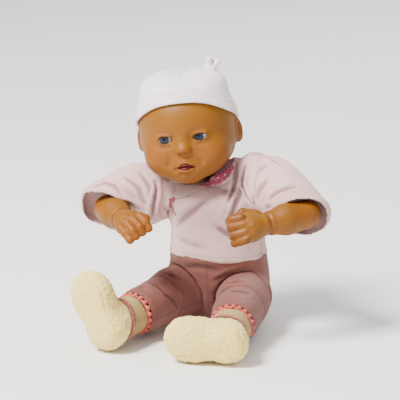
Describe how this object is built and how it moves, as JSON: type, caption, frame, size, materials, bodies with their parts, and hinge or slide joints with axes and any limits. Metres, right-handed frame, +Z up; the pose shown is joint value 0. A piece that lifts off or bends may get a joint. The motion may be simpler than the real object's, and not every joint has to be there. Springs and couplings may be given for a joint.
{
  "type": "interactive baby doll",
  "caption": "Sitting soft-bodied baby doll with vinyl head and limbs, knit cap, top, trousers and slippers; moving neck, arms, legs, sleeping eyes and lips.",
  "frame": {"origin": "middle of the flat patch under the seat, where the sitting doll touches its seat", "axes": "+Z up, the doll faces -Y, and +X is the doll's left side"},
  "size_m": [0.2751, 0.2313, 0.3],
  "materials": {
    "body_cloth": "matte woven cotton",
    "vinyl_skin": "matte soft vinyl",
    "knit_white": "fine jersey knit",
    "knit_pink": "fine jersey knit",
    "trouser_cloth": "brushed cotton",
    "plush_cream": "curly plush",
    "trim_coral": "scalloped crochet",
    "ribbon_red": "printed ribbon",
    "collar_pink": "ribbed knit",
    "eye_blue": "glossy",
    "lip_red": "satin",
    "white_plastic": "moulded",
    "grey_plastic": "moulded",
    "steel": "plated",
    "cell_wrap": "printed film",
    "board_green": "solder resist",
    "speaker_black": "paper cone",
    "pinion_white": "moulded acetal"
  },
  "bodies": {
    "torso": {"torso_body": "body_cloth", "trousers_seat": "trouser_cloth", "romper_top": "knit_pink", "collar": "collar_pink", "module_case": "white_plastic", "module_cover": "white_plastic", "battery_door": "white_plastic", "battery_door_screw": "steel", "battery_1": "cell_wrap", "battery_2": "cell_wrap", "battery_3": "cell_wrap", "speaker": "speaker_black", "circuit_board": "board_green", "belly_sensor_housing": "white_plastic", "neck_socket": "white_plastic"},
    "power_switch": {"power_switch_knob": "grey_plastic"},
    "belly_button": {"belly_button": "grey_plastic"},
    "neck": {"neck_post": "white_plastic"},
    "head": {"head_shell": "vinyl_skin", "neck_bearing_ring": "white_plastic", "head_mechanism_frame": "white_plastic", "mouth_motor": "steel", "cap_crown": "knit_white", "cap_band": "knit_white", "cap_knot": "knit_white"},
    "eyes": {"eye_left": "eye_blue", "eye_right": "eye_blue", "eye_bar": "steel", "eye_weight": "grey_plastic"},
    "mouth_pinion": {"mouth_pinion": "pinion_white"},
    "lip_plunger": {"lip_plunger": "lip_red"},
    "upper_arm_left": {"upper_arm_left": "body_cloth", "sleeve_left": "knit_pink"},
    "forearm_left": {"forearm_hand_left": "vinyl_skin"},
    "upper_arm_right": {"upper_arm_right": "body_cloth", "sleeve_right": "knit_pink"},
    "forearm_right": {"forearm_hand_right": "vinyl_skin"},
    "thigh_left": {"thigh_left": "body_cloth", "trouser_thigh_left": "trouser_cloth"},
    "lower_leg_left": {"lower_leg_left": "vinyl_skin", "trouser_shin_left": "trouser_cloth", "slipper_left": "plush_cream", "slipper_trim_left": "trim_coral", "slipper_strap_left": "ribbon_red"},
    "thigh_right": {"thigh_right": "body_cloth", "trouser_thigh_right": "trouser_cloth"},
    "lower_leg_right": {"lower_leg_right": "vinyl_skin", "trouser_shin_right": "trouser_cloth", "slipper_right": "plush_cream", "slipper_trim_right": "trim_coral", "slipper_strap_right": "ribbon_red"}
  },
  "joints": [
    {"name": "power_switch_slide", "type": "slide", "parent": "torso", "child": "power_switch", "axis": [1, 0, 0], "range_m": [-0.002, 0.002]},
    {"name": "belly_button_press", "type": "slide", "parent": "torso", "child": "belly_button", "axis": [0, 1, 0], "range_m": [0, 0.0015], "stiffness_N_per_m": 400},
    {"name": "neck_nod", "type": "hinge", "parent": "torso", "child": "neck", "pos_m": [-0.0222, -0.04292, 0.1522], "axis": [0.9686, 0.2059, 0.1392], "range_deg": [-12, 12]},
    {"name": "neck_turn", "type": "hinge", "parent": "neck", "child": "head", "pos_m": [-0.0222, -0.04292, 0.1522], "axis": [-0.1361, -0.0289, 0.9903], "range_deg": [-35, 45]},
    {"name": "eyes_close", "type": "hinge", "parent": "head", "child": "eyes", "pos_m": [-0.02228, -0.08505, 0.21508], "axis": [0.9686, 0.2059, 0.1392], "range_deg": [0, 55]},
    {"name": "mouth_suck", "type": "slide", "parent": "head", "child": "lip_plunger", "axis": [-0.2079, 0.9781, 0], "range_m": [0, 0.003]},
    {"name": "mouth_drive", "type": "hinge", "parent": "head", "child": "mouth_pinion", "pos_m": [-0.02177, -0.0735, 0.19448], "axis": [0.9686, 0.2059, 0.1392], "range_deg": [0, 34.4]},
    {"name": "shoulder_left_swing", "type": "hinge", "parent": "torso", "child": "upper_arm_left", "pos_m": [0.0528, -0.04, 0.16], "axis": [-1, 0, 0], "range_deg": [-35, 40]},
    {"name": "elbow_left_bend", "type": "hinge", "parent": "upper_arm_left", "child": "forearm_left", "pos_m": [0.1117, -0.072, 0.139], "axis": [-0.1494, 0.3354, -0.9302], "range_deg": [-60, 10]},
    {"name": "shoulder_right_swing", "type": "hinge", "parent": "torso", "child": "upper_arm_right", "pos_m": [-0.0528, -0.04, 0.1385], "axis": [-1, 0, 0], "range_deg": [-35, 25]},
    {"name": "elbow_right_bend", "type": "hinge", "parent": "upper_arm_right", "child": "forearm_right", "pos_m": [-0.1125, -0.0712, 0.1255], "axis": [-0.1414, -0.1379, 0.9803], "range_deg": [-60, 10]},
    {"name": "hip_left_swing", "type": "hinge", "parent": "torso", "child": "thigh_left", "pos_m": [0.036, -0.04, 0.034], "axis": [-1, 0, 0], "range_deg": [-85, 20]},
    {"name": "knee_left_bend", "type": "hinge", "parent": "thigh_left", "child": "lower_leg_left", "pos_m": [0.04578, -0.1026, 0.02979], "axis": [0.988, 0.1544, 0], "range_deg": [-8, 45]},
    {"name": "hip_right_swing", "type": "hinge", "parent": "torso", "child": "thigh_right", "pos_m": [-0.036, -0.04, 0.034], "axis": [-1, 0, 0], "range_deg": [-85, 20]},
    {"name": "knee_right_bend", "type": "hinge", "parent": "thigh_right", "child": "lower_leg_right", "pos_m": [-0.05219, -0.10131, 0.03067], "axis": [0.9669, -0.2553, 0], "range_deg": [-8, 45]}
  ],
  "couplings": [
    {"joint": "mouth_drive", "follows": "mouth_suck", "rad_per_m": 200}
  ]
}
